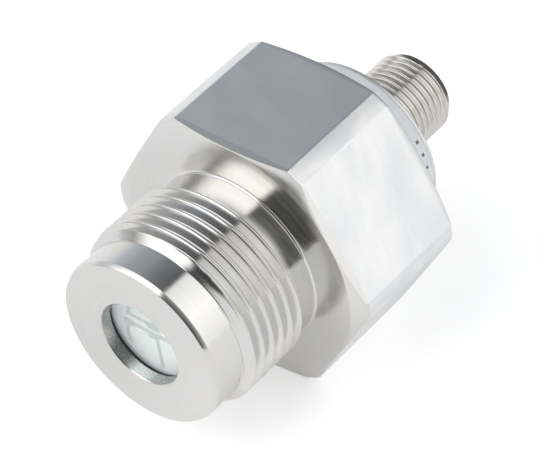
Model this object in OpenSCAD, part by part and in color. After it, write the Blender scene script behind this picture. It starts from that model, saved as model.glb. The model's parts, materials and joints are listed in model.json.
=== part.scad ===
// Screw-in pressure transmitter with a ceramic cell behind a recessed port.
// The axis runs along +Y from the centre of the nose face at the origin; +Z is the normal of the top flat.

/* [Nose and port] */
// Radius of the nose ahead of the thread
nose_r = 12.05; // [11.8:0.05:12.05]
// Length of the nose, from its face to the thread's lead-in cone
nose_len = 4.9; // [4.5:0.1:5.5]
// Radius of the round port in the nose face
port_r = 6.02; // [5:0.01:7]
// Thickness of the lip that surrounds the port
lip_t = 1.7; // [1.4:0.1:2]

/* [Process thread] */
// Radius over the crests of the G 3/4 thread
thread_r = 13.22; // [13.1:0.01:13.22]
// Pitch of the G 3/4 thread, 14 turns to the inch
thread_pitch = 1.814; // [1.814:0.001:1.815]
// Number of crests on the process thread
thread_crests = 6; // [5:1:6]
// Radius of the smooth neck between the thread and the hexagon
neck_r = 12.25; // [12:0.05:12.4]

/* [Hexagon] */
// Distance from the nose face to the front face of the hexagon
hex_y = 19.15; // [19:0.05:20]
// Length of the hexagon
hex_len = 18.85; // [18:0.05:20]
// Size across the flats, for a 36 mm wrench
hex_af = 35.6; // [35.4:0.1:36]
// Radius of the round bar that the flats are milled on
bar_r = 19.85; // [19.5:0.05:20]

/* [Ring and rear cover] */
// Outer radius of the plastic ring and of the cover's flange
ring_r = 12.25; // [12:0.05:13]
// Length of the plastic ring
ring_len = 5.9; // [5.5:0.1:6.5]
// Thickness of the cover's flange, which shows as a thin rim
flange_t = 0.55; // [0.5:0.05:1]

/* [Plug] */
// Radius over the crests of the M12 thread
plug_r = 5.94; // [5.9:0.01:5.97]
// Pitch of the M12 thread
plug_pitch = 1; // [1:0.5:1]
// Number of crests on the plug thread
plug_crests = 10; // [7:1:10]
// Length of the plug outside the cover
plug_len = 12.4; // [12.4:0.1:13]
// Radius of the plug's inner wall
socket_r = 4.25; // [4.2:0.01:4.3]
// Radius of one contact pin
pin_r = 0.5; // [0.45:0.01:0.5]
// Distance from the axis to each contact pin
pin_circle_r = 2.75; // [2.7:0.05:2.8]

/* [Measuring cell] */
// Radius of the ceramic cell
cell_r = 9; // [8.8:0.1:9]
// Thickness of the elastomer seal in front of the cell
seal_t = 0.5; // [0.4:0.1:0.6]
// Thickness of the ceramic diaphragm
diaphragm_t = 0.5; // [0.3:0.05:0.6]
// Thickness of the ceramic base
base_t = 5; // [4.8:0.1:5]

/* [Electronics] */
// Thickness of the signal board
board_t = 1.6; // [1.2:0.1:1.6]
// Width of the signal board
board_w = 17.2; // [16.8:0.1:17.2]
// Length of the signal board
board_len = 21; // [20:0.5:21]

/* [Hidden] */
$fn = 96;
eps = 0.01;

// Nose, thread and neck
nose_chamfer = [0.3, 0.64];                       // radial and axial size
lead_y = nose_len + 0.92;                         // end of the cone that leads into the thread
whitworth = [0.640327, 0.3333];                   // depth, and crest plus root flats, in pitches
thread_depth = whitworth[0] * thread_pitch;
thread_flat = whitworth[1] * thread_pitch / 2;
first_groove_y = lead_y + thread_flat;
neck_y = first_groove_y + (thread_crests - 1) * thread_pitch;
run_out = 0.6;
neck_fillet = 0.5;

// Hexagon
hex_end = hex_y + hex_len;
face_r = hex_af / 2 - 0.1;
edge_chamfer = (bar_r - face_r) * tan(19);

// Bores of the body, from the nose to the rear
cell_pocket_r = cell_r + 0.05;
clamp_bore_r = 9.5;
case_bore_r = 11;
case_bore_y = hex_y + 1.35;

// Measuring cell, from front to rear
cell_y = lip_t + seal_t;
joint_t = 0.1;
base_y = cell_y + diaphragm_t + joint_t;
base_end = base_y + base_t;
support_t = 1;
clamp_y = base_end + support_t;
clamp_t = 4;
track_t = 0.04;
track_w = 0.45;

// Electronics
lead_r = 0.4;
lead_xs = [-3.81, -1.27, 1.27, 3.81];
lead_z = board_t / 2 + lead_r;
carrier_y = clamp_y + clamp_t + 0.4;
carrier_ring_t = 2;
board_y = carrier_y + carrier_ring_t;
board_end = board_y + board_len;
wide_r = clamp_bore_r - 0.15;

// Cover
ring_end = hex_end + ring_len;
cover_end = ring_end + flange_t;
cover_y = hex_end - 5;
sleeve_r = case_bore_r - 0.02;
sleeve_in_r = 9.2;
plate_y = cover_end - 2.05;
shank_r = 6.15;
seal_wire_r = 0.45;
groove_w = 1.2;
cover_groove_y = cover_y + 1.6;

// Plug
shell_y = plate_y - 1.5;
shell_flange_r = 7.6;
plug_end = cover_end + plug_len;
undercut_r = 5.25;
plug_depth = 0.56 * plug_pitch;
plug_flat = 0.17 * plug_pitch;
plug_chamfer = [0.64, 1.15];
plug_thread_y = plug_end - plug_chamfer[1] - plug_flat - (plug_crests - 1) * plug_pitch;
carrier_face_y = plug_end - 8.5;
carrier_back_y = shell_y - 2.3;
carrier_flange_r = 5.55;
link_board_t = 1;
link_board_r = 8.8;
pin_tip_y = plug_end - 1.2;
pin_tail_y = carrier_back_y - link_board_t - 0.4;

steel = [0.78, 0.77, 0.75];
ceramic = [0.86, 0.91, 0.9];
elastomer = [0.06, 0.06, 0.07];
board_green = [0.12, 0.38, 0.22];
black_plastic = [0.1, 0.1, 0.11];
gold = [0.85, 0.68, 0.32];

// Lays a shape that stands on the local Z axis along +Y.
module along_y(y = 0) translate([0, y, 0]) rotate([-90, 0, 0]) children();

// Turns an outline of [radius, y] points round the axis.
module turned(outline) along_y() rotate_extrude() polygon(outline);

module tube(y, length, outer_r, inner_r)
    turned([[inner_r, y], [outer_r, y], [outer_r, y + length], [inner_r, y + length]]);

module rod(x, z, y, length, radius) translate([x, 0, z]) along_y(y) cylinder(h = length, r = radius);

module bore(y, length, radius) along_y(y) cylinder(h = length, r = radius);

module o_ring(y, ring_radius)
    along_y(y) rotate_extrude() translate([ring_radius, 0]) circle(r = seal_wire_r, $fn = 48);

// Block centred on X and Z at x, z, starting at y.
module block(x, y, z, size) translate([x - size[0] / 2, y, z - size[2] / 2]) cube(size);

// Outline of a run of ring grooves that starts at y, as [radius, y] points; crests and roots are flat long.
function groove_outline(crest_r, y, pitch, depth, flat, count) =
    let (flank = pitch / 2 - flat)
    [for (i = [0:count - 1], point = [[0, 0], [depth, flank], [depth, flank + flat], [0, 2 * flank + flat]])
        [crest_r - point[0], y + i * pitch + point[1]]];

module housing_outside() {
    turned(concat(
        [[0, 0], [nose_r - nose_chamfer[0], 0], [nose_r, nose_chamfer[1]], [nose_r, nose_len],
         [thread_r, lead_y]],
        groove_outline(thread_r, first_groove_y, thread_pitch, thread_depth, thread_flat, thread_crests - 1),
        [[thread_r, neck_y], [neck_r, neck_y + run_out], [neck_r, hex_y + 1], [0, hex_y + 1]]));
    turned([[neck_r - 0.5, hex_y - neck_fillet], [neck_r, hex_y - neck_fillet],
            [neck_r + 0.15, hex_y - 0.15], [neck_r + neck_fillet, hex_y], [neck_r - 0.5, hex_y + 1]]);
    intersection() {
        along_y(hex_y) cylinder(h = hex_len, r = hex_af / sqrt(3), $fn = 6);
        turned([[0, hex_y], [face_r, hex_y], [bar_r, hex_y + edge_chamfer],
                [bar_r, hex_end - edge_chamfer], [face_r, hex_end], [0, hex_end]]);
    }
}

module process_housing() color(steel) difference() {
    housing_outside();
    bore(-1, lip_t + 2, port_r);
    bore(lip_t, clamp_y - lip_t + eps, cell_pocket_r);
    bore(clamp_y, case_bore_y - clamp_y + eps, clamp_bore_r);
    bore(case_bore_y, hex_end - case_bore_y + 1, case_bore_r);
}

module port_seal() color(elastomer) tube(lip_t, seal_t, cell_r - 0.3, port_r + 0.25);

module ceramic_diaphragm() color(ceramic) bore(cell_y, diaphragm_t, cell_r);

module glass_joint() color([0.75, 0.8, 0.8]) tube(cell_y + diaphragm_t, joint_t, cell_r, port_r + 0.6);

// Printed on the back of the diaphragm: two bridge strips with resistor pads, a loop round them and two leads.
module cell_tracks() color([0.55, 0.6, 0.6]) along_y(cell_y + diaphragm_t) linear_extrude(track_t) mirror([0, 1]) {
    for (side = [-1, 1]) {
        track([[side * 4.1, 0.95], [side * 0.2, 0.95], [side * 0.6, 0.45], [0, 0.45]]);
        track([[side * 4.3, -0.5], [side * 0.6, -0.5]]);
        pad([side * 4, -0.5], [1.6, 0.9]);
        track([[side * 4, -0.8], [side * 4.35, -1.8], [side * 4.4, -2.9], [side * 4, -3.9]]);
        track([[side * 3.9, 0.95], [side * 3.8, 2], [side * 3.1, 3], [side * 1.9, 3.6]]);
    }
    pad([-0.15, 0.75], [1.5, 0.9]);
    pad([-0.15, -0.85], [1.5, 1]);
    track([[0.4, -0.9], [0.5, -2.6], [0.75, -5.6]]);
    track([[0.2, 0.9], [0.2, 4.2], [1.9, 5.3]]);
}

// A printed strip of the tracks' width along a run of points, with each stretch half a width longer at both ends.
module track(points) for (i = [0:len(points) - 2]) {
    step = points[i + 1] - points[i];
    translate(points[i]) rotate(atan2(step[1], step[0]))
        translate([-track_w / 2, -track_w / 2]) square([norm(step) + track_w, track_w]);
}

module pad(centre, size) translate(centre - size / 2) square(size);

module ceramic_substrate() color(ceramic) difference() {
    bore(base_y, base_t, cell_r);
    for (x = lead_xs) rod(x, lead_z, base_end - 1.5, 2, lead_r / 2);
}

module cell_pins() color(gold) for (x = lead_xs) rod(x, lead_z, base_end - 1.5, 3.7, lead_r / 2);

module support_ring() color([0.8, 0.74, 0.6]) tube(base_end, support_t, cell_r, 6);

module clamp_ring() color(steel) difference() {
    tube(clamp_y, clamp_t, clamp_bore_r - 0.02, 5.5);
    for (side = [-1, 1]) block(side * 8, clamp_y + clamp_t - 1.5, 0, [4, 2, 2]);
}

module signal_leads() color([0.75, 0.2, 0.15])
    for (x = lead_xs) rod(x, lead_z, base_end + 2.2, board_y + 3 - base_end - 2.2, lead_r);

module board_carrier() color(black_plastic) {
    tube(carrier_y, carrier_ring_t, wide_r, 7);
    for (side = [-1, 1]) difference() {
        intersection() {
            block(side * 8.6, carrier_y + carrier_ring_t - eps, 0, [1.6, cover_y - board_y - 0.5, 4.4]);
            bore(carrier_y, board_len, wide_r);
        }
        block(0, board_y, 0, [board_w, board_len, board_t]);
    }
}

module main_board() color(board_green) block(0, board_y, 0, [board_w, board_len, board_t]);

module signal_chip() color(black_plastic) block(0, board_y + 6, board_t / 2 + 0.75, [4, 5, 1.5]);

module processor_chip() color(black_plastic) block(0, board_y + 5, -board_t / 2 - 0.5, [7, 7, 1]);

module capacitors() color([0.7, 0.6, 0.45])
    for (x = [-6, 6], step = [0:2]) block(x, board_y + 5 + 3.2 * step, board_t / 2 + 0.6, [2, 1.25, 1.2]);

module surge_diodes() color(black_plastic)
    for (x = [-2.7, 2.7]) block(x, board_y + 13, -board_t / 2 - 1, [2.6, 4.3, 2]);

module board_link() color(gold)
    for (x = [-5.08, -1.27, 1.27, 5.08])
        rod(x, board_t / 2 + 0.3, board_end - 3, carrier_back_y - link_board_t - board_end + 3, 0.3);

module connector_board() color(board_green) difference() {
    bore(carrier_back_y - link_board_t, link_board_t, link_board_r);
    contact_places() cylinder(h = 40, r = pin_r);
}

module label_ring() color([0.93, 0.95, 0.97])
    turned([[case_bore_r, hex_end], [ring_r, hex_end], [ring_r, ring_end - 0.1], [ring_r - 0.1, ring_end],
            [case_bore_r, ring_end]]);

module cover_seal() color(elastomer) o_ring(cover_groove_y + groove_w / 2, case_bore_r - seal_wire_r);

module rear_cover() color(steel)
    turned([[sleeve_in_r, cover_y], [sleeve_r, cover_y], [sleeve_r, cover_groove_y],
            [case_bore_r - 2 * seal_wire_r, cover_groove_y],
            [case_bore_r - 2 * seal_wire_r, cover_groove_y + groove_w], [sleeve_r, cover_groove_y + groove_w],
            [sleeve_r, ring_end], [ring_r, ring_end], [ring_r, cover_end - 0.15], [ring_r - 0.15, cover_end],
            [shank_r + 0.02, cover_end], [shank_r + 0.02, plate_y + 2 * seal_wire_r],
            [shank_r + 1.4, plate_y + 2 * seal_wire_r], [shank_r + 1.4, plate_y], [sleeve_in_r, plate_y]]);

module connector_shell() color(steel)
    turned(concat(
        [[carrier_flange_r + 0.02, shell_y], [shell_flange_r, shell_y], [shell_flange_r, plate_y],
         [shank_r, plate_y], [shank_r, cover_end + 1.1], [undercut_r, cover_end + 1.1],
         [undercut_r, plug_thread_y - 0.4], [plug_r, plug_thread_y]],
        groove_outline(plug_r, plug_thread_y + plug_flat, plug_pitch, plug_depth, plug_flat, plug_crests - 1),
        [[plug_r, plug_end - plug_chamfer[1]], [plug_r - plug_chamfer[0], plug_end], [socket_r, plug_end],
         [socket_r, shell_y + 1.1], [carrier_flange_r + 0.02, shell_y + 1.1]]));

module connector_seal() color(elastomer) o_ring(plate_y + seal_wire_r, shank_r + 0.7);

// Places a child, which stands on local Z, at each contact pin, starting at the pins' tails.
module contact_places()
    for (turn = [0:3]) rotate([0, 90 * turn, 0]) translate([pin_circle_r, 0, 0]) along_y(pin_tail_y) children();

// The keyed insulator. Its key strip stands 0.02 mm clear of the face, as a solid of its own.
module contact_carrier() color(black_plastic) {
    difference() {
        turned([[0, carrier_back_y], [4.9, carrier_back_y], [4.9, shell_y], [carrier_flange_r, shell_y],
                [carrier_flange_r, shell_y + 1.08], [socket_r - 0.02, shell_y + 1.08],
                [socket_r - 0.02, carrier_face_y], [0, carrier_face_y]]);
        contact_places() cylinder(h = 40, r = pin_r);
    }
    rotate([0, 45, 0]) intersection() {
        block(socket_r, carrier_face_y + 0.02, 0, [1.4, plug_end - carrier_face_y - 1.5, 1]);
        bore(carrier_face_y, 12, socket_r - 0.02);
    }
}

module contact_pins() color(gold) contact_places() {
    cylinder(h = pin_tip_y - pin_tail_y - 0.3, r = pin_r);
    translate([0, 0, pin_tip_y - pin_tail_y - 0.3]) cylinder(h = 0.3, r1 = pin_r, r2 = pin_r - 0.25);
}

process_housing();
port_seal();
ceramic_diaphragm();
cell_tracks();
glass_joint();
ceramic_substrate();
cell_pins();
support_ring();
clamp_ring();
signal_leads();
board_carrier();
main_board();
signal_chip();
processor_chip();
capacitors();
surge_diodes();
board_link();
connector_board();
label_ring();
cover_seal();
rear_cover();
connector_shell();
connector_seal();
contact_carrier();
contact_pins();
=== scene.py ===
"""Looks of a screw-in pressure transmitter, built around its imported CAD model.

The axis runs along +Y from the centre of the nose face; +Z is the normal of the hexagon's top flat.
Lengths are in millimetres until a mesh is made. An angle round the axis is measured from +Z towards +X.
"""

import json
import math

import bmesh
import bpy
import numpy as np
from mathutils import Matrix, Vector


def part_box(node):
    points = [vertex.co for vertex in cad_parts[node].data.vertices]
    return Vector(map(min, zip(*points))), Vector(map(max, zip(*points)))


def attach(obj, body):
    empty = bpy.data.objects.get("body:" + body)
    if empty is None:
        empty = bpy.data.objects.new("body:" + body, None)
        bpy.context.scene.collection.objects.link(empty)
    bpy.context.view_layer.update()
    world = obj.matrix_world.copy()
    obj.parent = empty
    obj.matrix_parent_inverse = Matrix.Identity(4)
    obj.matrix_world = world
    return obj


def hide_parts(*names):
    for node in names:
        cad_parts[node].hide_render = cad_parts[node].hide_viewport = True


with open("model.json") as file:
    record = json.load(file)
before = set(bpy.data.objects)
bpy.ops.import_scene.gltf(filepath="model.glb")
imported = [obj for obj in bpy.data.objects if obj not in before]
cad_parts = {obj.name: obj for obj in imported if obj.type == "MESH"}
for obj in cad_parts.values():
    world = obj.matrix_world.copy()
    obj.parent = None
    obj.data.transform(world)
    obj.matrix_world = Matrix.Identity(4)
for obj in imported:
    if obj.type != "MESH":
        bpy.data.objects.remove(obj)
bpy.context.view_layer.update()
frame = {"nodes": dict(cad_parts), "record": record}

MM = 0.001
NODES = frame["nodes"]
MOUNTS = {mount["name"]: mount for mount in frame["record"]["mounts"]}


def corners(node):
    """Lowest and highest corner of a CAD node, in millimetres."""
    low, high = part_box(node)
    return Vector(low) / MM, Vector(high) / MM


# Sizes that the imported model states
BODY_LOW, BODY_HIGH = corners("process_housing")
RING_LOW, RING_HIGH = corners("label_ring")
COVER_LOW, COVER_HIGH = corners("rear_cover")
SHELL_LOW, SHELL_HIGH = corners("connector_shell")
PORT_R = MOUNTS["process_port"]["dims"]["r_mm"]
THREAD_R = MOUNTS["process_thread"]["dims"]["r_mm"]
PLUG_R = MOUNTS["plug_thread"]["dims"]["r_mm"]
HEX_Y = MOUNTS["shoulder"]["pos_m"][1] / MM
HEX_END = BODY_HIGH.y
FLAT_R = BODY_HIGH.z
BAR_R = min(BODY_HIGH.x, -BODY_LOW.x)
FLOOR_Z = BODY_LOW.z
RING_R = RING_HIGH.x
PLUG_END = SHELL_HIGH.y

# How meshes are made
SEAM = 0.02                                     # step between one group of rings and the next
FINE_EDGE_R, EDGE_R, SOFT_EDGE_R = 0.06, 0.08, 0.12
ARC_SHARE = 0.45                                # most of an edge that the arc at one end may use
FINE_COLUMNS, COLUMNS = 1, 1.5                  # degrees
EDGE_OFFSETS = (-0.6, -0.3, -0.12, 0, 0.12, 0.3, 0.6)   # degrees from a hexagon's edge to its columns
MERGE_DISTANCE, SMALLEST_EDGE = 0.0015, 0.0005
STRAIGHT_ANGLE, SHARP_ANGLE = math.radians(176), math.radians(24)
THREAD_EDGE = 0.13                              # radius of a thread's edges, as a share of its pitch

# Sizes of the housing's outside
NOSE_R, NOSE_LEN = 12.05, 4.9
NOSE_CHAMFER_W, NOSE_CHAMFER_LEN = 0.3, 0.64
NECK_R, NECK_START_R, NECK_CONE_END = 12.25, 12.09, 17.9
FILLET_R = 0.4
LEAD_LEN = 0.92
THREAD_PITCH, THREAD_FLAT, THREAD_DEPTH = 1.814, 0.3, 1.16
THREAD_END, RUN_OUT = 15.19, 0.6
ROOT_BLEND = [THREAD_END - 0.2, THREAD_END + 0.3]   # the roots rise here from the nose's radius to the neck's
CREST_Y = 5.64                                  # where the first crest's middle crosses the top
FACE_R = FLAT_R - 0.1
CHAMFER = math.tan(math.radians(19))
CORNER_BLEND = 0.06
HEX_EDGE = ((0.05, -0.006), (0.012, 0.012), (0, 0.05))  # how far in, and how far along, its rings lie
FACE_DROP = 0.006
FLAT_MARGIN, FLAT_RINGS = 1.2, 9
FACE_RINGS = (13.5, 15, 16.5, FACE_R - EDGE_R)

# Sizes of its bores
PORT_BREAK_W, PORT_BREAK_LEN = 0.12, 0.1
CASE_BREAK = 0.1
LIP_T = 1.7
POCKET_R, POCKET_END = 9.05, corners("clamp_ring")[0].y
CLAMP_R = 9.5
CASE_R, CASE_Y = 11, HEX_Y + 1.35

# Sizes of the plug
PLUG_PITCH, PLUG_FLAT, PLUG_DEPTH = 1.0, 0.17, 0.56
PLUG_CREST_Y, PLUG_TURNS = 46.52, 9
PLUG_LEAD_LEN = 0.4
PLUG_CHAMFER_W, PLUG_CHAMFER_LEN = 0.64, 1.15
PLUG_RIM_BREAK = 0.03
PLUG_ROOT_R, PLUG_FADE_LEN = 5.2, 1.5           # the grooves rise to the surface near the end
SHANK_R, UNDERCUT_R, SOCKET_R, CARRIER_R = 6.15, 5.25, 4.25, 5.57
SHELL_FLANGE_R = SHELL_HIGH.x
FLANGE_T, SEAT_DEPTH, SHANK_LEN = 1.5, 1.1, 1.1


# ---------------------------------------------------------------------------------------------- meshes

def rounded(points, radius, steps=3):
    """The outline of [r, y] points with each inner corner replaced by an arc of that radius."""
    out = [Vector(points[0])]
    for before, corner, after in zip(points, points[1:], points[2:]):
        corner = Vector(corner)
        into, away = Vector(before) - corner, Vector(after) - corner
        turn = into.angle(away)
        if turn > STRAIGHT_ANGLE:
            out.append(corner)
            continue
        cut = min(radius / math.tan(turn / 2), into.length * ARC_SHARE, away.length * ARC_SHARE)
        arc_r = cut * math.tan(turn / 2)
        into.normalize()
        away.normalize()
        centre = corner + (into + away).normalized() * (arc_r / math.sin(turn / 2))
        start, end = corner + into * cut - centre, corner + away * cut - centre
        for step in range(steps + 1):
            out.append(centre + start.slerp(end, step / steps).normalized() * arc_r)
    out.append(Vector(points[-1]))
    return out


def columns(step, extra=()):
    """Angles in degrees from -180 to just under 180, with more of them near the extra ones."""
    angles = set(np.round(np.arange(-180, 180, step), 3))
    for centre in extra:
        for offset in EDGE_OFFSETS:
            angles.add(round((centre + offset + 180) % 360 - 180, 3))
    return np.radians(sorted(angles))


def circle(r, y):
    """A plain ring: a pair of functions of the angle that give its radius and its place on the axis."""
    return lambda t: np.full_like(t, r), lambda t: np.full_like(t, y)


def plain(outline):
    """The rings of a turned outline of [r, y] points."""
    return [circle(point[0], point[1]) for point in outline]


def thread_rings(start, end, pitch, crest_y, crest_r, depth, flat, limit, floor):
    """Rings that follow a right-handed thread between two places on the axis, and how many make a turn.

    A turn's profile starts and ends halfway up a flank; its last point is the next turn's first.
    limit and floor give the largest and smallest radius at a place on the axis."""
    flank = pitch / 2 - flat
    middle = flat / 2 + flank / 2
    turn = rounded([(crest_r - depth / 2, -middle), (crest_r, -flat / 2), (crest_r, flat / 2),
                    (crest_r - depth, flat / 2 + flank), (crest_r - depth, pitch - flat / 2 - flank),
                    (crest_r - depth / 2, pitch - middle)], THREAD_EDGE * pitch, 4)[:-1]
    turns = math.ceil((end - start) / pitch) + 2
    first = crest_y + pitch * math.floor((start - crest_y) / pitch) - pitch
    rings = []
    for count in range(turns + 1):
        for point in turn:
            place = first + count * pitch + point[1]

            def along(t, place=place):
                return np.clip(place + pitch * t / (2 * math.pi), start, end)

            def radius(t, r=point[0], along=along):
                y = along(t)
                return np.minimum(np.maximum(r, floor(y)), limit(y))

            rings.append((radius, along))
    return rings, len(turn)


def turned_mesh(name, groups, angles):
    """A mesh of revolution from groups of (rings, seam shift, material index); the last ring meets the first.

    A thread's rings rise by one pitch a turn, so its seam joins each ring to the one a pitch further on."""
    count = len(angles)
    points, rows = [], []
    for rings, shift, slot in groups:
        for number, (radius, along) in enumerate(rings):
            r, y = radius(angles), along(angles)
            points.extend(zip(r * np.sin(angles), y, r * np.cos(angles)))
            rows.append((shift, slot, len(rings) - 1 - number))
    faces, slots = [], []
    for row, (shift, slot, rings_left) in enumerate(rows):
        after = (row + 1) % len(rows)
        next_shift = rows[after][0]
        for column in range(count):
            beside = (column + 1) % count
            low, high = row, after
            if beside == 0 and shift and next_shift:
                low, high = (row + min(rise, rings_left) for rise in (shift, shift + 1))
            faces.append((row * count + column, after * count + column,
                          high * count + beside, low * count + beside))
            slots.append(slot)
    mesh = bpy.data.meshes.new(name)
    mesh.from_pydata([Vector(p) * MM for p in points], [], faces)
    mesh.polygons.foreach_set("material_index", slots)
    return finish_mesh(name, mesh)


def finish_mesh(name, mesh):
    """Merges what touches, smooths the shading between sharp edges, and puts the piece on the part."""
    work = bmesh.new()
    work.from_mesh(mesh)
    bmesh.ops.remove_doubles(work, verts=work.verts, dist=MERGE_DISTANCE * MM)
    bmesh.ops.dissolve_degenerate(work, dist=SMALLEST_EDGE * MM, edges=work.edges)
    bmesh.ops.recalc_face_normals(work, faces=work.faces)
    work.to_mesh(mesh)
    work.free()
    mesh.polygons.foreach_set("use_smooth", [True] * len(mesh.polygons))
    mesh.set_sharp_from_angle(angle=SHARP_ANGLE)
    piece = bpy.data.objects.new(name, mesh)
    bpy.context.scene.collection.objects.link(piece)
    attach(piece, "root")
    return piece


def hexagon_radius(t):
    """Radius of the hexagon at an angle: flats on a round bar, with the edge between them just broken."""
    flat = FLAT_R / np.cos((t + math.pi / 6) % (math.pi / 3) - math.pi / 6)
    overlap = np.maximum(CORNER_BLEND - np.abs(flat - BAR_R), 0) / CORNER_BLEND
    return np.minimum(flat, BAR_R) - overlap ** 2 * CORNER_BLEND / 4


def hexagon_ring(inset, offset, end, direction):
    """A ring along the edge of the chamfer at one end of the hexagon, inset from its sides."""
    def radius(t):
        return hexagon_radius(t) - inset

    def along(t):
        return end + direction * (np.maximum(hexagon_radius(t) - FACE_R, 0) * CHAMFER + offset)

    return radius, along


def build_housing():
    """Nose, thread, neck, hexagon and bores as one closed skin."""
    turned, flats, bored = 0, 1, 2
    nose = rounded([(PORT_R + PORT_BREAK_W, 0), (NOSE_R - NOSE_CHAMFER_W, 0), (NOSE_R, NOSE_CHAMFER_LEN),
                    (NOSE_R, NOSE_LEN - SEAM)], SOFT_EDGE_R)

    def limit(y):
        lead = NOSE_R + (y - NOSE_LEN) * (THREAD_R - NOSE_R) / LEAD_LEN
        run_out = THREAD_R - (y - THREAD_END) * (THREAD_R - NECK_START_R) / RUN_OUT
        return np.minimum(np.minimum(lead, run_out), THREAD_R)

    def floor(y):
        return np.interp(y, ROOT_BLEND, [NOSE_R - SEAM / 2, NECK_START_R])

    thread, shift = thread_rings(NOSE_LEN, THREAD_END + RUN_OUT, THREAD_PITCH, CREST_Y, THREAD_R,
                                 THREAD_DEPTH, THREAD_FLAT, limit, floor)
    neck = [Vector((NECK_START_R, THREAD_END + RUN_OUT + SEAM)), Vector((NECK_R, NECK_CONE_END))]
    neck += [Vector((NECK_R + FILLET_R - FILLET_R * math.cos(a), HEX_Y - FILLET_R + FILLET_R * math.sin(a)))
             for a in np.radians(range(0, 91, 10))]
    face = [Vector((r, HEX_Y)) for r in FACE_RINGS]
    front = [circle(FACE_R, HEX_Y + FACE_DROP)] + [hexagon_ring(*edge, HEX_Y, 1) for edge in HEX_EDGE]
    middle = [(hexagon_radius, lambda t, y=y: np.full_like(t, y))
              for y in np.linspace(HEX_Y + FLAT_MARGIN, HEX_END - FLAT_MARGIN, FLAT_RINGS)]
    back = [hexagon_ring(*edge, HEX_END, -1) for edge in reversed(HEX_EDGE)]
    back.append(circle(FACE_R, HEX_END - FACE_DROP))
    rear = [Vector((FACE_R - EDGE_R, HEX_END)), Vector((CASE_R + CASE_BREAK, HEX_END))]
    inside = rounded([(CASE_R, HEX_END - CASE_BREAK), (CASE_R, CASE_Y), (CLAMP_R, CASE_Y),
                      (CLAMP_R, POCKET_END), (POCKET_R, POCKET_END), (POCKET_R, LIP_T), (PORT_R, LIP_T),
                      (PORT_R, PORT_BREAK_LEN)], FINE_EDGE_R, 2)
    corner = math.degrees(math.acos(FLAT_R / BAR_R))
    edges = [60 * flat + side * corner for flat in range(6) for side in (-1, 1)]
    groups = [(plain(nose), 0, turned), (thread, shift, turned), (plain(neck + face), 0, turned),
              (front, 0, turned), (middle, 0, flats), (back, 0, turned), (plain(rear), 0, turned),
              (plain(inside), 0, bored)]
    housing = turned_mesh("process_housing_body", groups, columns(FINE_COLUMNS, edges))
    paint(housing, turned_steel(), milled_steel(), bored_steel())
    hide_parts("process_housing")


def build_shell():
    """Plug shell: flange, shank, undercut, M12x1 thread and hollow inside."""
    threaded, hollow = 0, 1
    shank_end = COVER_HIGH.y + SHANK_LEN
    chamfer_y = PLUG_END - PLUG_CHAMFER_LEN
    first_crest = chamfer_y - PLUG_FLAT - PLUG_TURNS * PLUG_PITCH
    thread_start, thread_end = first_crest - PLUG_LEAD_LEN, PLUG_END - 2 * SEAM
    base_y = SHELL_LOW.y
    seat_y = base_y + SEAT_DEPTH
    flange_y = base_y + FLANGE_T
    outside = rounded([(CARRIER_R, base_y), (SHELL_FLANGE_R, base_y), (SHELL_FLANGE_R, flange_y),
                       (SHANK_R, flange_y), (SHANK_R, shank_end), (UNDERCUT_R, shank_end),
                       (UNDERCUT_R, thread_start - SEAM)], FINE_EDGE_R)

    def limit(y):
        lead = UNDERCUT_R + (y - thread_start) * (PLUG_R - UNDERCUT_R) / PLUG_LEAD_LEN
        chamfer = PLUG_R - (y - chamfer_y) * PLUG_CHAMFER_W / PLUG_CHAMFER_LEN
        return np.minimum(np.minimum(lead, chamfer), PLUG_R)

    def floor(y):
        return np.interp(y, [PLUG_END - PLUG_FADE_LEN, chamfer_y], [PLUG_ROOT_R, PLUG_R])

    thread, shift = thread_rings(thread_start, thread_end, PLUG_PITCH, PLUG_CREST_Y, PLUG_R, PLUG_DEPTH,
                                 PLUG_FLAT, limit, floor)
    rim_r = PLUG_R - PLUG_CHAMFER_W
    inside = rounded([(rim_r, PLUG_END - SEAM), (rim_r - PLUG_RIM_BREAK, PLUG_END), (SOCKET_R, PLUG_END),
                      (SOCKET_R, seat_y), (CARRIER_R, seat_y), (CARRIER_R, base_y + SEAM)], EDGE_R)
    groups = [(plain(outside), 0, threaded), (thread, shift, threaded), (plain(inside), 0, hollow)]
    shell = turned_mesh("plug_shell_body", groups, columns(COLUMNS))
    paint(shell, plug_steel(), bored_steel())
    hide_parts("connector_shell")


def build_ring():
    """White plastic ring with softened edges."""
    seam = RING_LOW.y + 0.05
    outline = [(CASE_R, seam), (CASE_R, RING_LOW.y), (RING_R, RING_LOW.y), (RING_R, RING_HIGH.y),
               (CASE_R, RING_HIGH.y), (CASE_R, seam + SEAM / 2)]
    ring = turned_mesh("label_ring_body", [(plain(rounded(outline, SOFT_EDGE_R, 4)), 0, 0)], columns(COLUMNS))
    paint(ring, white_plastic())
    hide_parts("label_ring")


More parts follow.
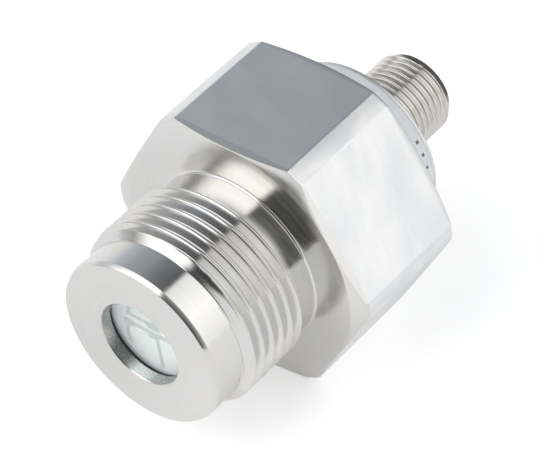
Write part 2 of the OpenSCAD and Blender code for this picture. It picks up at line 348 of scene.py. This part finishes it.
def build_cover():
    """Rear cover: seal groove, sleeve, rim flange and plate with a shallow ring groove."""
    bottom, top = COVER_LOW.y, COVER_HIGH.y
    seam = bottom + 0.3
    sleeve_r, inner_r = CASE_R - 0.02, 9.2
    groove_y, groove_w, groove_r = bottom + 1.6, 1.2, CASE_R - 0.9
    plate_y, seat_y, seat_r = top - 2.05, top - 1.15, SHANK_R + 1.4
    bore_r = SHANK_R + 0.02
    mark_r, mark_w, mark_slope, drop = 6.9, 0.7, 0.15, 0.12
    outline = [(inner_r, seam), (inner_r, bottom), (sleeve_r, bottom), (sleeve_r, groove_y),
               (groove_r, groove_y), (groove_r, groove_y + groove_w), (sleeve_r, groove_y + groove_w),
               (sleeve_r, RING_HIGH.y), (RING_R, RING_HIGH.y), (RING_R, top - drop), (RING_R - drop, top),
               (mark_r + mark_w, top), (mark_r + mark_w - mark_slope, top - drop),
               (mark_r + mark_slope, top - drop), (mark_r, top), (bore_r, top), (bore_r, seat_y),
               (seat_r, seat_y), (seat_r, plate_y), (inner_r, plate_y), (inner_r, seam + SEAM)]
    rings = plain(rounded(outline, FINE_EDGE_R, 2))
    cover = turned_mesh("rear_cover_body", [(rings, 0, 0)], columns(COLUMNS))
    paint(cover, satin_steel())
    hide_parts("rear_cover")


# ------------------------------------------------------------------------------------------- materials

def paint(piece, *materials):
    """Gives a piece these materials, in the order of its material indices."""
    for finish in materials:
        piece.data.materials.append(finish)


class Nodes:
    """A short way to wire a node tree."""

    def __init__(self, tree):
        self.tree = tree
        tree.nodes.clear()

    def add(self, kind, inputs=None, **settings):
        made = self.tree.nodes.new(kind)
        for key, value in settings.items():
            setattr(made, key, value)
        for key, value in (inputs or {}).items():
            if isinstance(value, bpy.types.NodeSocket):
                self.tree.links.new(value, made.inputs[key])
            else:
                made.inputs[key].default_value = value
        return made

    def math(self, operation, *values):
        return self.add("ShaderNodeMath", dict(enumerate(values)), operation=operation).outputs[0]

    def times(self, a, b):
        return self.math("MULTIPLY", a, b)

    def plus(self, a, b):
        return self.math("ADD", a, b)

    def noise(self, vector, scale, detail=2.0, roughness=0.5):
        return self.add("ShaderNodeTexNoise", {"Vector": vector, "Scale": scale, "Detail": detail,
                                               "Roughness": roughness}).outputs["Fac"]

    def span(self, value, low, high, out_low=0.0, out_high=1.0, smooth=False):
        kind = "SMOOTHSTEP" if smooth else "LINEAR"
        return self.add("ShaderNodeMapRange", {"Value": value, "From Min": low, "From Max": high,
                                               "To Min": out_low, "To Max": out_high},
                        interpolation_type=kind).outputs["Result"]

    def mix(self, factor, a, b, blend="MIX"):
        """Two colours mixed; the node's colour sockets are inputs 6 and 7 and output 2."""
        made = self.add("ShaderNodeMix", {"Factor": factor}, data_type="RGBA", blend_type=blend)
        for socket, value in ((made.inputs[6], a), (made.inputs[7], b)):
            if isinstance(value, bpy.types.NodeSocket):
                self.tree.links.new(value, socket)
            else:
                socket.default_value = (*value, 1.0)
        return made.outputs[2]

    def dim(self, colour, factor):
        """A colour times one number."""
        return self.mix(1.0, colour, self.vector(factor, factor, factor), "MULTIPLY")

    def vector(self, x, y, z):
        return self.add("ShaderNodeCombineXYZ", {0: x, 1: y, 2: z}).outputs[0]

    def split(self, vector):
        """The x, y and z of a vector."""
        return self.add("ShaderNodeSeparateXYZ", {0: vector}).outputs

    def place(self):
        """The shaded point's place on the part, in millimetres."""
        place = self.add("ShaderNodeTexCoord").outputs["Object"]
        return self.add("ShaderNodeVectorMath", {0: place, "Scale": 1 / MM}, operation="SCALE").outputs[0]

    def off_axis(self, x, z):
        """Distance from the part's axis."""
        return self.math("SQRT", self.plus(self.times(x, x), self.times(z, z)))

    def bump(self, height, strength, distance_mm):
        return self.add("ShaderNodeBump", {"Height": height, "Strength": strength,
                                           "Distance": distance_mm * MM}).outputs[0]

    def surface(self, **inputs):
        names = {key.replace("_", " "): value for key, value in inputs.items()}
        shader = self.add("ShaderNodeBsdfPrincipled", names)
        self.add("ShaderNodeOutputMaterial", {"Surface": shader.outputs[0]})
        return shader


def material(name):
    made = bpy.data.materials.new(name)
    made.use_nodes = True
    return made, Nodes(made.node_tree)


def darker(colour, share):
    return tuple(share * channel for channel in colour)


def turned_finish(name, colour, warm, roughness, groove_mm, anisotropy=0.8):
    """Lathe-turned metal: fine grooves round the axis, uneven gloss, a warm stain and small pits."""
    made, n = material(name)
    place = n.place()
    x, y, z = n.split(place)
    profile = n.plus(y, n.times(n.off_axis(x, z), 0.9))
    lines = n.noise(n.vector(n.times(x, 0.1), n.times(z, 0.1), n.times(profile, 7.0)), 1.0, 3.0, 0.65)
    broad = n.noise(n.vector(n.times(x, 0.12), n.times(z, 0.12), n.times(profile, 1.3)), 1.0, 2.0)
    stain = n.noise(place, 0.22, 3.0, 0.6)
    pits = n.span(n.noise(place, 3.4, 4.0, 0.7), 0.68, 0.78)
    tint = n.mix(n.span(stain, 0.35, 0.7, 0.0, 0.7), colour, warm)
    shade = n.mix(n.span(lines, 0.25, 0.75, 0.0, 0.14), tint, darker(colour, 0.55))
    shade = n.mix(n.times(pits, 0.25), shade, darker(colour, 0.5))
    rough = n.plus(n.span(broad, 0.3, 0.7, roughness - 0.035, roughness + 0.045), n.times(stain, 0.04))
    tangent = n.add("ShaderNodeTangent", direction_type="RADIAL", axis="Y").outputs[0]
    n.surface(Base_Color=shade, Metallic=1.0, Roughness=rough, Tangent=tangent,
              Anisotropic=anisotropy, Anisotropic_Rotation=0.25,
              Normal=n.bump(n.plus(lines, n.times(broad, 0.6)), 0.5, groove_mm))
    return made


def turned_steel():
    """The housing's bright turned steel."""
    return turned_finish("turned_steel", (0.715, 0.715, 0.705), (0.74, 0.71, 0.66), 0.13, 0.004)


def plug_steel():
    """The plug shell's steel, a little lighter and warmer."""
    return turned_finish("plug_steel", (0.79, 0.775, 0.75), (0.80, 0.75, 0.69), 0.15, 0.004)


def satin_steel():
    """The rear cover's duller steel."""
    return turned_finish("satin_steel", (0.80, 0.80, 0.795), (0.79, 0.775, 0.75), 0.42, 0.006, 0.3)


# Painted shade and a painted highlight: the bores' colour is darker on one side and lighter on another,
# standing in for light
PAINTED_SHADE_SIDE, PAINTED_HIGHLIGHT_SIDE = -136, -165          # angles round the bores, in degrees


def bored_steel():
    """Rougher bores, with painted shade darkening one side and a painted highlight lightening another."""
    made, n = material("bored_steel")
    x, y, z = n.split(n.place())
    angle = n.math("ARCTAN2", x, z)
    marks = n.noise(n.vector(n.times(angle, 9.0), n.times(y, 1.4), 0.0), 1.0, 4.0, 0.7)
    painted_shade, painted_highlight = (n.span(n.math("COSINE", n.math("SUBTRACT", angle, math.radians(side))), 0.90, 0.99)
                       for side in (PAINTED_SHADE_SIDE, PAINTED_HIGHLIGHT_SIDE))
    shade = n.mix(n.span(marks, 0.3, 0.7), (0.60, 0.59, 0.58), (0.50, 0.49, 0.48))
    # painted highlight, then painted shade, mixed into the bores' colour
    shade = n.mix(painted_highlight, shade, (0.9, 0.9, 0.89))
    shade = n.mix(painted_shade, shade, (0.2, 0.2, 0.195))
    n.surface(Base_Color=shade, Metallic=1.0, Roughness=n.span(marks, 0.3, 0.7, 0.22, 0.32),
              Normal=n.bump(marks, 0.4, 0.01))
    return made


def milled_steel():
    """The hexagon's sides: fine streaks across the bar, slow swells and a few scratches."""
    made, n = material("milled_steel")
    x, y, z = n.split(n.place())
    nx, _, nz = n.split(n.add("ShaderNodeNewGeometry").outputs["Normal"])
    across = n.math("SUBTRACT", n.times(x, nz), n.times(z, nx))
    face = n.times(n.math("ARCTAN2", nx, nz), 9.0)      # gives each flat a pattern of its own
    slant = n.plus(y, n.times(across, 0.06))
    streaks = n.noise(n.vector(n.times(across, 0.35), n.times(slant, 6.0), face), 1.0, 4.0, 0.7)
    slow = n.plus(n.times(y, 0.16), n.times(across, 0.05))
    swell = n.noise(n.vector(n.times(across, 0.09), slow, face), 1.0, 2.0)
    fine = n.vector(n.times(across, 0.5), n.times(slant, 9.0), face)
    scratch = n.span(n.noise(fine, 1.7, 2.0, 0.5), 0.70, 0.78)
    shade = n.mix(n.span(swell, 0.36, 0.64), (0.86, 0.86, 0.86), (0.78, 0.79, 0.80))
    shade = n.mix(n.span(streaks, 0.3, 0.7, 0.0, 0.15), shade, (0.45, 0.455, 0.46))
    shade = n.mix(n.times(scratch, 0.35), shade, (0.78, 0.78, 0.78))
    rough = n.plus(n.span(swell, 0.3, 0.7, 0.27, 0.36), n.times(streaks, 0.06))
    n.surface(Base_Color=shade, Metallic=1.0, Roughness=rough,
              Normal=n.bump(n.plus(streaks, n.times(swell, 2.0)), 0.35, 0.006))
    return made


# Three plain dashes printed on the white ring
MARK_START, MARK_STEP, MARK_COUNT = math.radians(59), math.radians(9), 3.0
MARK_SHARE = 0.24       # of its step that a dash takes
MARK_INSET, MARK_HALF_W = 0.95, 0.24


def white_plastic():
    """Moulded white ring with a fine grain and a short row of plain dashes printed on it."""
    made, n = material("white_plastic")
    place = n.place()
    x, y, z = n.split(place)
    grain = n.noise(place, 6.0, 3.0)
    cloud = n.noise(place, 0.35, 2.0)
    shade = n.mix(n.span(cloud, 0.3, 0.7), (0.86, 0.89, 0.92), (0.80, 0.84, 0.88))
    shade = n.mix(n.span(grain, 0.3, 0.8, 0.0, 0.06), shade, (0.55, 0.57, 0.6))
    count = n.math("DIVIDE", n.math("SUBTRACT", n.math("ARCTAN2", x, z), MARK_START), MARK_STEP)
    dash = n.math("LESS_THAN", n.math("FRACT", count), MARK_SHARE)
    inside = n.times(n.math("GREATER_THAN", count, 0.0), n.math("LESS_THAN", count, MARK_COUNT))
    from_middle = n.math("ABSOLUTE", n.math("SUBTRACT", y, RING_HIGH.y - MARK_INSET))
    band = n.math("LESS_THAN", from_middle, MARK_HALF_W)
    outer = n.math("GREATER_THAN", n.off_axis(x, z), RING_R - 0.05)
    ink = n.times(n.times(dash, inside), n.times(band, outer))
    shade = n.mix(n.times(ink, 0.88), shade, (0.06, 0.07, 0.08))
    n.surface(Base_Color=shade, Roughness=n.span(grain, 0.3, 0.7, 0.34, 0.42), Subsurface_Weight=0.15,
              Subsurface_Radius=(0.0012, 0.0012, 0.0012), Subsurface_Scale=1.0,
              Normal=n.bump(grain, 0.25, 0.01))
    return made


CERAMIC_GLOW = 0.17     # stands in for light that spreads inside the ceramic


def ceramic():
    """Milky ceramic: the print on its back shows through it softly."""
    made, n = material("ceramic")
    place = n.place()
    x, _, z = n.split(place)
    grain = n.noise(place, 9.0, 4.0, 0.7)
    cloud = n.noise(place, 0.5, 2.0)
    centre = n.mix(n.span(cloud, 0.35, 0.65), (0.89, 0.93, 0.91), (0.87, 0.91, 0.90))
    shade = n.mix(n.span(n.off_axis(x, z), 3.5, 6.0, smooth=True), centre, (0.88, 0.90, 0.93))
    shade = n.mix(n.span(grain, 0.3, 0.8, 0.0, 0.06), shade, (0.55, 0.6, 0.6))
    shader = n.add("ShaderNodeBsdfPrincipled", {"Base Color": shade, "Roughness": 0.28,
                                                "Emission Color": shade, "Emission Strength": CERAMIC_GLOW,
                                                "Normal": n.bump(grain, 0.2, 0.004)})
    clear = n.add("ShaderNodeBsdfTransparent", {"Color": (0.97, 0.99, 0.98, 1.0)})
    back = n.add("ShaderNodeNewGeometry").outputs["Backfacing"]
    both = n.add("ShaderNodeMixShader", {0: n.span(back, 0, 1, 0.5, 0.0), 1: clear.outputs[0],
                                         2: shader.outputs[0]})
    n.add("ShaderNodeOutputMaterial", {"Surface": both.outputs[0]})
    return made


def grainy(name, colour, other, roughness, scale=4.0, metallic=0.0, bump_mm=0.01, glow=0.0):
    """A plain finish with a fine grain, cloudy colour and uneven gloss."""
    made, n = material(name)
    place = n.place()
    grain = n.noise(place, scale, 4.0, 0.6)
    cloud = n.noise(place, scale * 0.12, 2.0)
    shade = n.mix(n.span(cloud, 0.3, 0.7), colour, other)
    shade = n.mix(n.span(grain, 0.35, 0.8, 0.0, 0.3), shade, darker(colour, 0.6))
    n.surface(Base_Color=shade, Metallic=metallic, Normal=n.bump(grain, 0.4, bump_mm),
              Emission_Color=shade, Emission_Strength=glow,
              Roughness=n.span(grain, 0.3, 0.7, roughness - 0.06, roughness + 0.06))
    return made


def circuit_board():
    """Green lacquer over a faint glass weave, with lighter lines where tracks lie under it."""
    made, n = material("circuit_board")
    place = n.place()
    x, y, _ = n.split(place)
    weave = n.times(n.math("SINE", n.times(x, 14.0)), n.math("SINE", n.times(y, 14.0)))
    lines = n.math("LESS_THAN", n.math("FRACT", n.times(x, 0.7)), 0.3)
    patch = n.span(n.noise(place, 0.25, 1.0), 0.5, 0.52)
    shade = n.mix(n.times(lines, patch), (0.02, 0.16, 0.07), (0.05, 0.27, 0.12))
    n.surface(Base_Color=shade, Roughness=0.3, Normal=n.bump(weave, 0.3, 0.01))
    return made


FINISHES = {
    "port_seal": lambda: grainy("elastomer", (0.02, 0.02, 0.022), (0.03, 0.03, 0.032), 0.45),
    "ceramic_diaphragm": ceramic,
    "cell_tracks": lambda: grainy("track_print", (0.34, 0.42, 0.40), (0.4, 0.48, 0.46), 0.4, 9.0,
                                  glow=CERAMIC_GLOW),
    "glass_joint": lambda: grainy("glass_frit", (0.55, 0.62, 0.6), (0.5, 0.58, 0.58), 0.4, 8.0),
    "ceramic_substrate": lambda: grainy("ceramic_base", (0.9, 0.93, 0.92), (0.87, 0.9, 0.9), 0.45, 8.0,
                                        glow=CERAMIC_GLOW),
    "cell_pins": lambda: grainy("gold_plate", (0.83, 0.62, 0.27), (0.78, 0.56, 0.22), 0.24, 6.0, 1.0, 0.004),
    "support_ring": lambda: grainy("natural_plastic", (0.62, 0.5, 0.34), (0.56, 0.45, 0.3), 0.5),
    "clamp_ring": turned_steel,
    "signal_leads": lambda: grainy("wire_cover", (0.5, 0.04, 0.03), (0.42, 0.03, 0.025), 0.35),
    "board_carrier": lambda: grainy("black_plastic", (0.022, 0.022, 0.025), (0.032, 0.032, 0.035), 0.5),
    "main_board": circuit_board,
    "signal_chip": lambda: grainy("chip", (0.02, 0.02, 0.023), (0.028, 0.028, 0.03), 0.55, 8.0),
    "capacitors": lambda: grainy("capacitor", (0.42, 0.3, 0.18), (0.5, 0.38, 0.24), 0.35, 6.0),
}
SAME = {"processor_chip": "signal_chip", "surge_diodes": "signal_chip", "board_link": "cell_pins",
        "connector_board": "main_board", "cover_seal": "port_seal", "connector_seal": "port_seal",
        "contact_carrier": "board_carrier", "contact_pins": "cell_pins"}


def finish_cad_nodes():
    """Gives each CAD node that stays its own procedural finish."""
    made = {node: finish() for node, finish in FINISHES.items()}
    for node, other in SAME.items():
        made[node] = made[other]
    for node, finish in made.items():
        mesh = NODES[node].data
        mesh.materials.clear()
        mesh.materials.append(finish)


# -------------------------------------------------------------------------------------- studio, camera

LEVEL_SCALE = 3.0       # the level that a colour of 1 stands for
WHITE, COOL, WARM = (1.0, 1.0, 1.0), (0.92, 0.985, 1.08), (1.03, 1.0, 0.96)

# Light by angle round the axis, as (degrees, level, tint): from the plug's end, then from the nose's
BEHIND = [(-180, 1.05, WHITE), (-130, 1.25, WHITE), (-108, 1.2, WHITE), (-92, 1.05, WHITE),
          (-76, 0.88, WHITE), (-60, 0.62, COOL), (-44, 0.46, COOL), (-28, 0.39, COOL), (-12, 0.24, COOL),
          (10, 0.13, COOL), (14, 1.1, WHITE), (36, 1.32, WHITE), (52, 1.45, WHITE), (84, 1.2, WHITE),
          (116, 1.15, WHITE), (179, 1.05, WHITE)]
AHEAD = [(-180, 0.85, WHITE), (-124, 1.2, WHITE), (-106, 1.0, WHITE), (-92, 0.72, WHITE), (-76, 0.4, WHITE),
         (-66, 0.9, WHITE), (-58, 1.5, WHITE), (-44, 2.0, WHITE), (8, 2.1, WHITE), (13, 0.1, COOL),
         (60, 0.07, WHITE), (93, 0.07, WHITE), (100, 0.6, WARM), (150, 0.62, WARM), (179, 0.8, WHITE)]
AHEAD_TWIST = math.radians(20)                  # how far the ring ahead turns towards its pole
POLE_LIGHT, POLE_DARK = 0.85, 0.08

FLOOR_HALF = 1.2        # metres
# Behind the plug the floor is dark, but only in reflections: millimetres along the axis, and slopes across it
GAP_START, GAP_FULL = 72, 92
GAP_SLOPE, GAP_EDGE = 0.5, 0.62


def ramp(n, angle, stops):
    """Colour of the light by angle, from stops of (degrees, level, tint) between -180 and 180."""
    node = n.add("ShaderNodeValToRGB", {0: n.span(angle, -math.pi, math.pi)})
    elements = node.color_ramp.elements
    while len(elements) > 1:
        elements.remove(elements[-1])
    for count, (degrees, level, tint) in enumerate(stops):
        place = (degrees + 180) / 360
        element = elements[0] if count == 0 else elements.new(place)
        element.position = place
        element.color = (*(level * c / LEVEL_SCALE for c in tint), 1.0)
    return node.outputs["Color"]


def grey(level):
    return (level / LEVEL_SCALE,) * 3


def build_world():
    """A ring of soft light panels and dark gaps round the part; the camera itself sees plain white."""
    world = bpy.data.worlds.new("studio")
    bpy.context.scene.world = world
    world.use_nodes = True
    n = Nodes(world.node_tree)
    x, y, z = n.split(n.add("ShaderNodeTexCoord").outputs["Generated"])
    angle = n.math("ARCTAN2", x, z)
    behind = ramp(n, angle, BEHIND)
    rear_gap = n.span(y, 0.6, 0.84, 1.0, 0.12, smooth=True)
    twist = n.span(y, -0.95, -0.55, AHEAD_TWIST, 0.0)
    ahead = ramp(n, n.plus(angle, twist), AHEAD)
    nose_fade = n.span(y, -0.93, -0.6, 0.72, 1.0, smooth=True)
    shade = n.times(n.span(z, -0.03, 0.03), n.span(x, -0.32, -0.14))
    pole = n.mix(shade, grey(POLE_LIGHT), grey(POLE_DARK))
    front = n.mix(n.span(y, -0.975, -0.955, 1.0, 0.0), n.dim(ahead, nose_fade), pole)
    seen = n.mix(n.span(y, -0.48, 0.12, smooth=True), front, n.dim(behind, rear_gap))
    light = n.add("ShaderNodeBackground", {"Color": seen, "Strength": LEVEL_SCALE})
    backdrop = n.add("ShaderNodeBackground", {"Color": (1.0, 1.0, 1.0, 1.0), "Strength": 1.0})
    eye = n.add("ShaderNodeLightPath").outputs["Is Camera Ray"]
    both = n.add("ShaderNodeMixShader", {0: eye, 1: light.outputs[0], 2: backdrop.outputs[0]})
    n.add("ShaderNodeOutputWorld", {"Surface": both.outputs[0]})


def pale_floor():
    """Pale matt floor that gives a little light of its own, with the gap that only reflections see."""
    made, n = material("pale_floor")
    place = n.place()
    x, y, _ = n.split(place)
    shade = n.mix(n.noise(place, 0.02, 2.0), (0.93, 0.93, 0.93), (0.9, 0.9, 0.905))
    path = n.add("ShaderNodeLightPath")
    aside = n.math("DIVIDE", n.math("ABSOLUTE", x), n.math("MAXIMUM", y, 1.0))
    wedge = n.times(n.span(y, GAP_START, GAP_FULL), n.span(aside, GAP_SLOPE, GAP_EDGE, 1.0, 0.0))
    gap = n.times(path.outputs["Is Glossy Ray"], wedge)
    glow = n.times(n.span(path.outputs["Is Camera Ray"], 0, 1, 0.3, 0.5), n.span(gap, 0, 1, 1, 0))
    n.surface(Base_Color=n.mix(gap, shade, (0.12, 0.12, 0.125)), Roughness=0.6, Specular_IOR_Level=0.1,
              Emission_Color=shade, Emission_Strength=glow)
    return made


def build_floor():
    """The pale floor that the part rests on."""
    mesh = bpy.data.meshes.new("studio_floor")
    signs = ((-1, -1), (1, -1), (1, 1), (-1, 1))
    corner_points = [(a * FLOOR_HALF, b * FLOOR_HALF, FLOOR_Z * MM) for a, b in signs]
    mesh.from_pydata(corner_points, [], [(0, 1, 2, 3)])
    floor = bpy.data.objects.new("studio_floor", mesh)
    bpy.context.scene.collection.objects.link(floor)
    mesh.materials.append(pale_floor())


def build_camera():
    """The photograph's view, as a point that it looks at, a distance, two angles and a roll."""
    aim = Vector((-0.57, 26.26, -0.96)) * MM
    distance = 385.4 * MM
    azimuth, elevation, roll = (math.radians(a) for a in (42.54, 43.13, -6.06))
    back = Vector((math.sin(azimuth) * math.cos(elevation), -math.cos(azimuth) * math.cos(elevation),
                   math.sin(elevation)))
    data = bpy.data.cameras.new("camera")
    data.lens, data.sensor_width = 203.4, 36
    camera = bpy.data.objects.new("camera", data)
    camera.rotation_mode = "QUATERNION"
    turn = (-back).to_track_quat("-Z", "Y").to_matrix().to_4x4() @ Matrix.Rotation(roll, 4, "Z")
    camera.rotation_quaternion = turn.to_quaternion()
    camera.location = aim + back * distance
    data.clip_start, data.clip_end = 0.02, 10
    bpy.context.scene.collection.objects.link(camera)
    bpy.context.scene.camera = camera


build_housing()
build_shell()
build_ring()
build_cover()
finish_cad_nodes()
build_world()
build_floor()
build_camera()
bpy.context.scene.view_settings.view_transform = "Standard"

bpy.context.view_layer.update()
